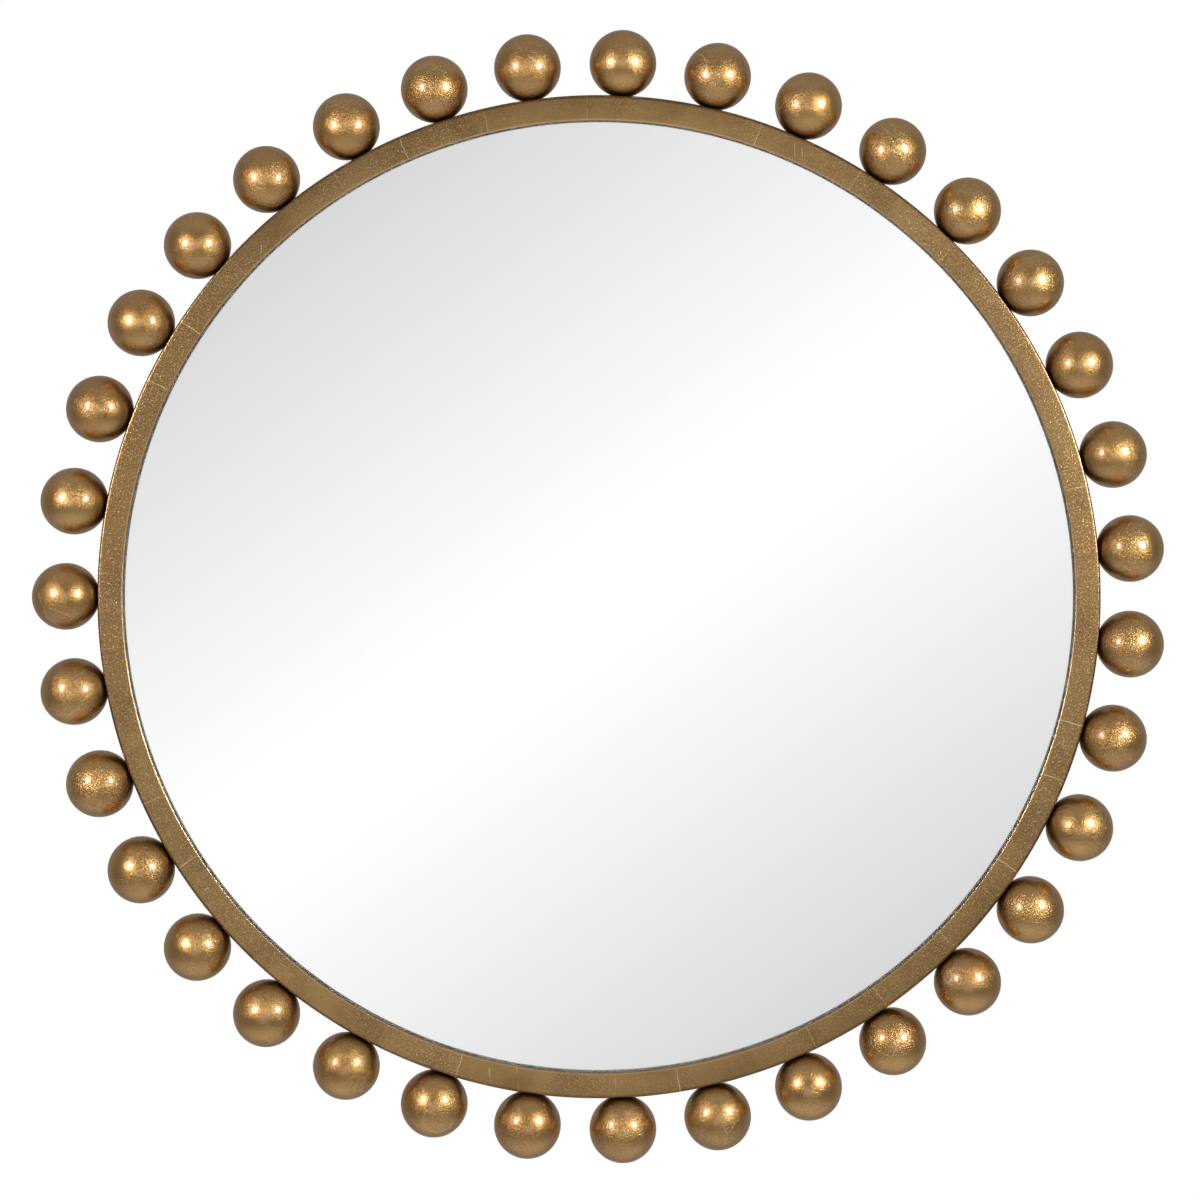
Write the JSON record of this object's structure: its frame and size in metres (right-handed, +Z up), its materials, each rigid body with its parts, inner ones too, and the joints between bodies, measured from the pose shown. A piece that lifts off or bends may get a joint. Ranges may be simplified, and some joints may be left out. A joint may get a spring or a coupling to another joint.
{
  "type": "girandole mirror",
  "caption": "Round wall mirror in a gilded angle-steel ring set with a circle of gilded balls, with D-rings and rubber bumpers on the back.",
  "frame": {"origin": "centre of the ring, on the plane through the centres of all the balls", "axes": "+X to the right as seen from the front, +Z up, +Y from the glass towards the wall"},
  "size_m": [1.1159, 0.0675, 1.117],
  "materials": {
    "gilded_steel": "aged gold leaf on red-brown size, sealed",
    "gilded_wood": "aged gold leaf on red-brown size, sealed",
    "mirror": "silvered float glass, ground edge",
    "hardboard": "brown fibreboard",
    "foam": "black closed-cell foam",
    "rubber": "matt black rubber",
    "black_steel": "satin black paint",
    "zinc_steel": "bright zinc plate"
  },
  "bodies": {
    "mirror": {"back_board": "hardboard", "ball_01": "gilded_wood", "ball_02": "gilded_wood", "ball_03": "gilded_wood", "ball_04": "gilded_wood", "ball_05": "gilded_wood", "ball_06": "gilded_wood", "ball_07": "gilded_wood", "ball_08": "gilded_wood", "ball_09": "gilded_wood", "ball_10": "gilded_wood", "ball_11": "gilded_wood", "ball_12": "gilded_wood", "ball_13": "gilded_wood", "ball_14": "gilded_wood", "ball_15": "gilded_wood", "ball_16": "gilded_wood", "ball_17": "gilded_wood", "ball_18": "gilded_wood", "ball_19": "gilded_wood", "ball_20": "gilded_wood", "ball_21": "gilded_wood", "ball_22": "gilded_wood", "ball_23": "gilded_wood", "ball_24": "gilded_wood", "ball_25": "gilded_wood", "ball_26": "gilded_wood", "ball_27": "gilded_wood", "ball_28": "gilded_wood", "ball_29": "gilded_wood", "ball_30": "gilded_wood", "ball_31": "gilded_wood", "ball_32": "gilded_wood", "ball_33": "gilded_wood", "ball_34": "gilded_wood", "ball_35": "gilded_wood", "ball_screws": "zinc_steel", "bracket_screws": "zinc_steel", "bumper_left": "rubber", "bumper_right": "rubber", "bumper_screws": "zinc_steel", "frame_ring": "gilded_steel", "glass_tape": "foam", "hanger_strap_left": "zinc_steel", "hanger_strap_right": "zinc_steel", "hanging_rail": "black_steel", "lower_rail": "black_steel", "mirror_glass": "mirror", "retaining_bracket_1": "black_steel", "retaining_bracket_2": "black_steel", "retaining_bracket_3": "black_steel", "retaining_bracket_4": "black_steel", "retaining_bracket_5": "black_steel", "retaining_bracket_6": "black_steel", "retaining_bracket_7": "black_steel", "setting_blocks": "rubber", "strap_screws": "zinc_steel"},
    "d_ring_left": {"d_ring_left": "zinc_steel"},
    "d_ring_right": {"d_ring_right": "zinc_steel"}
  },
  "joints": [
    {"name": "d_ring_left_swing", "type": "hinge", "parent": "mirror", "child": "d_ring_left", "pos_m": [-0.2032, 0.0129, 0.4002], "axis": [1, 0, 0], "range_deg": [0, 180]},
    {"name": "d_ring_right_swing", "type": "hinge", "parent": "mirror", "child": "d_ring_right", "pos_m": [0.2032, 0.0129, 0.4002], "axis": [1, 0, 0], "range_deg": [0, 180]}
  ]
}
